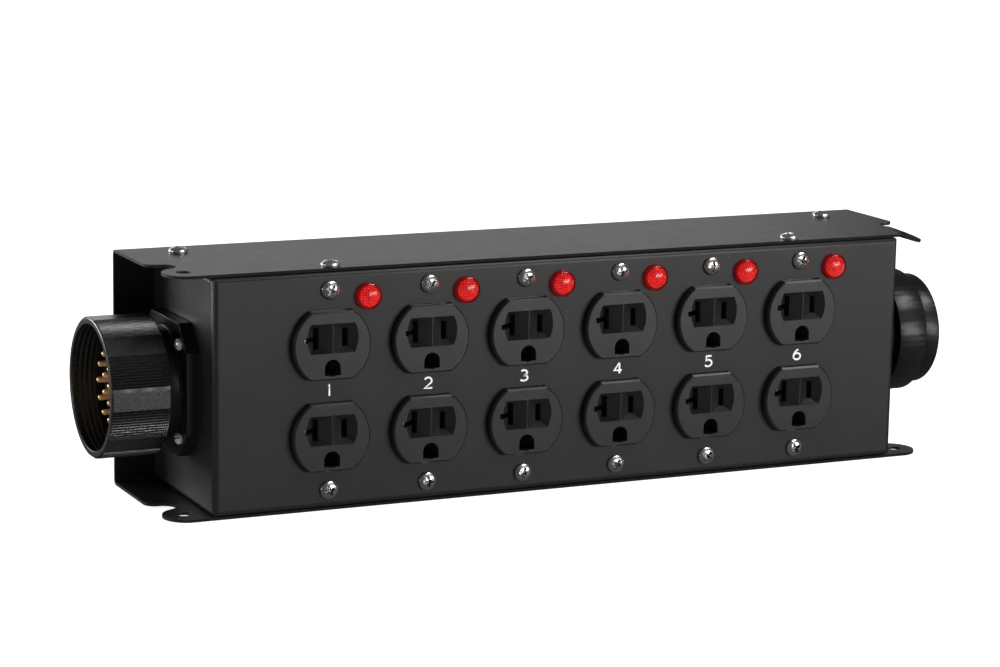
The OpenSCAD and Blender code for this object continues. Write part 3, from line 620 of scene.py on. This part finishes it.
# Centre lines in a box one unit high; each digit is a list of strokes
DIGITS = {
    1: [[(0.31, 0.9), (0.4, 1), (0.4, 0)]],
    2: [arc(0.38, 0.68, 0.36, 0.32, 155, -38) + [(0.02, 0), (0.8, 0)]],
    3: [arc(0.34, 0.76, 0.34, 0.24, 140, -90) + arc(0.34, 0.26, 0.4, 0.26, 90, -145)],
    4: [[(0.56, 1), (0.02, 0.3), (0.82, 0.3)], [(0.58, 1), (0.58, 0)]],
    5: [[(0.72, 1), (0.18, 1), (0.11, 0.54)]
        + arc(0.35, 0.32, 0.4, 0.32, 118, -145)],
    6: [arc(0.4, 0.31, 0.38, 0.31, 0, 360, 28)[:-1] + [(0.78, 0.31)],
        arc(0.84, 0.31, 0.82, 0.72, 180, 112)],
}


def ribbon(points, width, front, depth, place):
    """A flat stroke along the points, with mitred corners, as vertices and faces."""
    left, right = [], []
    count = len(points)
    for k in range(count):
        here = Vector(points[k])
        before = (here - Vector(points[k - 1])).normalized() if k else None
        after = (Vector(points[k + 1]) - here).normalized() if k < count - 1 else None
        before = before or after
        after = after or before
        normal = Vector((-(before.y + after.y), before.x + after.x)).normalized()
        reach = min(1 / max(normal.dot(Vector((-before.y, before.x))), 0.4), 1.6)
        left.append(here + normal * width / 2 * reach)
        right.append(here - normal * width / 2 * reach)
    vertices = []
    for y in (front, front - depth):
        for p in left + right:
            vertices.append(place(p, y))
    n = 2 * count
    faces = []
    for k in range(count - 1):
        faces.append((k, k + 1, count + k + 1, count + k))
        faces.append((n + k, n + k + 1, n + count + k + 1, n + count + k))
        faces.append((k, k + 1, n + k + 1, n + k))
        faces.append((count + k, count + k + 1, n + count + k + 1, n + count + k))
    for k in (0, count - 1):
        faces.append((k, count + k, n + count + k, n + k))
    return vertices, faces


def digit(number):
    """A receptacle's number, printed between its two outlets."""
    low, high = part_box(f"receptacle_face_{number}")
    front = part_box("front_pan")[0].y
    centre_x = (low.x + high.x) / 2
    centre_z = (low.z + high.z) / 2
    scale = DIGIT_HEIGHT * MM

    def place(point, y):
        return (centre_x + (point[0] - 0.4) * scale, y, centre_z + (point[1] - 0.5) * scale)

    width = DIGIT_STROKE / DIGIT_HEIGHT
    vertices, faces = [], []
    for layer, points in enumerate(DIGITS[number]):
        # Each stroke is a little thicker, so no two faces lie in one plane
        depth = (INK_DEPTH + INK_LAYER * layer) * MM
        more, quads = ribbon(points, width, front, depth, place)
        start = len(vertices)
        vertices += more
        faces += [tuple(start + k for k in quad) for quad in quads]
    # The record has no slot for ink, so the digits get an ink finish of their own
    piece(f"digit_{number}", vertices, faces, "root", INK)


# ---------------------------------------------------------------- screws

def turned_solid(profile, sides):
    """A closed turned mesh about Z from radius and height points, ends on the axis."""
    vertices = [(0, 0, profile[0][1])]
    for r, h in profile:
        for k in range(sides):
            a = 2 * math.pi * k / sides
            vertices.append((r * math.cos(a), r * math.sin(a), h))
    vertices.append((0, 0, profile[-1][1]))
    faces = []
    for i in range(len(profile) - 1):
        for k in range(sides):
            m = (k + 1) % sides
            low = 1 + i * sides
            faces.append((low + k, low + m, low + sides + m, low + sides + k))
    last = 1 + (len(profile) - 1) * sides
    for k in range(sides):
        m = (k + 1) % sides
        faces.append((0, 1 + m, 1 + k))
        faces.append((len(vertices) - 1, last + k, last + m))
    return vertices, faces


def recess_cutter(radius, height, cross):
    """A cross recess that narrows as it goes in, or one slot right across."""
    reach = radius * (0.66 if cross else 1.2)
    half = radius * (0.2 if cross else 0.14)
    top = height * 1.3
    bottom = height * (-0.6 if cross else 0.4)
    shrink = 0.6 if cross else 1.0
    outline = [(-reach, -half), (reach, -half), (reach, half), (-reach, half)]
    if cross:
        outline = []
        for k in range(4):
            turn = Matrix.Rotation(math.radians(90 * k), 2)
            for corner in ((reach, -half), (reach, half), (half, half)):
                outline.append(tuple(turn @ Vector(corner)))
    vertices = [(x * shrink, y * shrink, bottom) for x, y in outline]
    vertices += [(x, y, top) for x, y in outline]
    n = len(outline)
    faces = [(k, (k + 1) % n, n + (k + 1) % n, n + k) for k in range(n)]
    faces.append(tuple(range(n)))
    faces.append(tuple(range(n, 2 * n)))
    return vertices, faces


def screw_mesh(radius, height, shank_radius, shank_length, cross=True):
    """A domed screw standing on z = 0, with its recess, as vertices and faces."""
    rim = 0.28 * height
    dome = arc(0, rim, radius, height - rim, 0, 86, 16)
    profile = [(shank_radius, -shank_length), (shank_radius, 0), (radius * 0.97, 0)]
    head = add_object("head", outward_mesh("head", *turned_solid(profile + dome, 40)))
    recess = outward_mesh("cutter", *recess_cutter(radius, height, cross))
    cutter = add_object("cutter", recess)
    cut = head.modifiers.new("recess", "BOOLEAN")
    cut.operation = "DIFFERENCE"
    cut.solver = "EXACT"
    cut.object = cutter
    bpy.context.view_layer.update()
    cut_head = head.evaluated_get(bpy.context.evaluated_depsgraph_get())
    mesh = bpy.data.meshes.new_from_object(cut_head)
    vertices = [v.co.copy() for v in mesh.vertices]
    faces = [tuple(f.vertices) for f in mesh.polygons]
    for obj in (head, cutter):
        bpy.data.objects.remove(obj)
    bpy.data.meshes.remove(mesh)
    return vertices, faces


def screws(name, node, places, outward, size, cross=True):
    """One screw at each place, each turned a little differently, for that node."""
    vertices, faces = screw_mesh(*size, cross)
    face_out = Vector(outward).to_track_quat("Z", "Y").to_matrix()
    all_vertices, all_faces = [], []
    for k, place in enumerate(places):
        turn = face_out @ Matrix.Rotation(math.radians(20 + 37 * k), 3, "Z")
        start = len(all_vertices)
        all_vertices += [Vector(place) + turn @ (v * MM) for v in vertices]
        all_faces += [tuple(start + i for i in face) for face in faces]
    slot = slot_of(node)
    obj = piece(name, all_vertices, all_faces, "root", SLOTS[slot], 30)
    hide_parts(node)


def device_screws():
    """The screws above and below each receptacle."""
    low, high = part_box("receptacle_screws")
    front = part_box("front_pan")[0].y
    head_r = DEVICE_SCREW[0] * MM
    places = []
    for i in COLUMNS:
        face_low, face_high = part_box(f"receptacle_face_{i}")
        x = (face_low.x + face_high.x) / 2
        for z in (low.z + head_r, high.z - head_r):
            places.append((x, front, z))
    screws("receptacle_screw_set", "receptacle_screws", places, (0, -1, 0), DEVICE_SCREW)


def cover_screws():
    """The four screws on top of the cover, two near the front and two at the back."""
    low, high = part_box("cover_screws_top")
    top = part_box("rear_cover")[1].z
    front_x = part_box("front_pan")[1].x * FRONT_SCREW_SHARE
    head_r = COVER_SCREW[0] * MM
    places = []
    for side in (-1, 1):
        places.append((side * front_x, low.y + head_r, top))
        places.append((side * (high.x - head_r), high.y - head_r, top))
    screws("cover_screw_set", "cover_screws_top", places, (0, 0, 1), COVER_SCREW)


def flange_screws(name, node, side):
    """The four slotted screws of the flange on that side, -1 or 1 along X."""
    low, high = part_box(node)
    face = side * (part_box("front_pan")[1].x + FLANGE_FACE * MM)
    r = FLANGE_HEAD_R * MM
    places = [(face, y, z) for y in (low.y + r, high.y - r) for z in (low.z + r, high.z - r)]
    screws(name, node, places, (side, 0, 0), FLANGE_SCREW, cross=False)


# ---------------------------------------------------------------- finishes on CAD nodes

def soften(node, width):
    """Eases the sharp edges of a CAD node, so that they catch the light."""
    obj = nodes[node]
    weld = obj.modifiers.new("weld", "WELD")
    weld.merge_threshold = 0.001 * MM
    bevel = obj.modifiers.new("eased_edges", "BEVEL")
    bevel.width = width * MM
    bevel.segments = 2
    bevel.limit_method = "ANGLE"
    bevel.angle_limit = math.radians(35)
    bevel.harden_normals = True


def slot_of(node):
    """The material slot that the record gives to a CAD node."""
    return nodes[node].data.materials[0].name.split(".")[0]


def dress(node):
    """Gives a CAD node the finish of its slot."""
    nodes[node].data.materials[0] = SLOTS[slot_of(node)].material


# ---------------------------------------------------------------- stage

def floor():
    """A pale sheet just below the object, which doesn't glare on its dark sides."""
    half = 6.0
    level = cad_low.z - 0.2 * MM
    corners = [(-half, -half, level), (half, -half, level), (half, half, level),
               (-half, half, level)]
    mesh = bpy.data.meshes.new("floor")
    mesh.from_pydata(corners, [], [(0, 1, 2, 3)])
    mesh.materials.append(floor_paper("floor_paper").material)
    obj = add_object("floor", mesh)
    obj.visible_glossy = False


def area_light(name, place, target, width, height, power):
    """A softbox at place that looks at target, in metres and watts."""
    light = bpy.data.lights.new(name, "AREA")
    light.shape = "RECTANGLE"
    light.size = width
    light.size_y = height
    light.energy = power
    obj = add_object(name, light)
    obj.location = place
    obj.rotation_euler = (Vector(target) - Vector(place)).to_track_quat("-Z", "Y").to_euler()
    obj.visible_camera = False


def lighting():
    """Softboxes placed for what each side mirrors, over a faint white surround."""
    world = bpy.data.worlds.new("studio")
    world.use_nodes = True
    backdrop = world.node_tree.nodes["Background"]
    backdrop.inputs["Color"].default_value = (1, 1, 1, 1)
    backdrop.inputs["Strength"].default_value = 0.07
    scene.world = world
    middle = (0, 0, 0.05)
    area_light("back_soft", (0.1, 2.5, 0.9), middle, 3.2, 1.1, 12)
    area_light("front_low", (0.95, -1.75, 0.22), middle, 1.3, 0.4, 19)
    area_light("overhead", (0.7, -0.75, 1.3), middle, 1.0, 0.3, 14)
    area_light("left_low", (-1.3, 1.5, 0.34), middle, 1.0, 0.66, 20)
    # Level with the inlet and behind the front face, so it only lights that end
    area_light("mouth_soft", (-0.9, 0.03, 0.14), (-0.19, 0.0, 0.05), 0.2, 0.2, 0.9)
    scene.view_settings.view_transform = "Standard"


def camera():
    """The photograph's viewpoint, from a camera fitted to the case and its screws.
    Yaw goes from +Y to +X and pitch goes below level, both in radians like roll."""
    place = (-0.571712, -1.182588, 0.311565)
    yaw = 0.4393
    pitch = 0.1894
    roll = 0.0176
    forward = Vector((math.sin(yaw) * math.cos(pitch), math.cos(yaw) * math.cos(pitch),
                      -math.sin(pitch)))
    level_right = Vector((math.cos(yaw), -math.sin(yaw), 0))
    level_up = level_right.cross(forward)
    right = math.cos(roll) * level_right + math.sin(roll) * level_up
    up = math.cos(roll) * level_up - math.sin(roll) * level_right
    data = bpy.data.cameras.new("camera")
    data.sensor_width = 36
    data.lens = 111.27
    data.clip_start = 0.05
    data.clip_end = 50
    obj = add_object("camera", data)
    turn = Matrix((right, up, -forward)).transposed().to_4x4()
    obj.matrix_world = Matrix.Translation(place) @ turn
    scene.camera = obj


for name in nodes:
    dress(name)
for name, width in EASED.items():
    soften(name, width)
coupling_grip()
device_screws()
cover_screws()
flange_screws("inlet_screw_set", "inlet_screws", -1)
flange_screws("outlet_screw_set", "outlet_screws", 1)
for number in COLUMNS:
    lamp_lens(number)
    digit(number)
floor()
lighting()
camera()
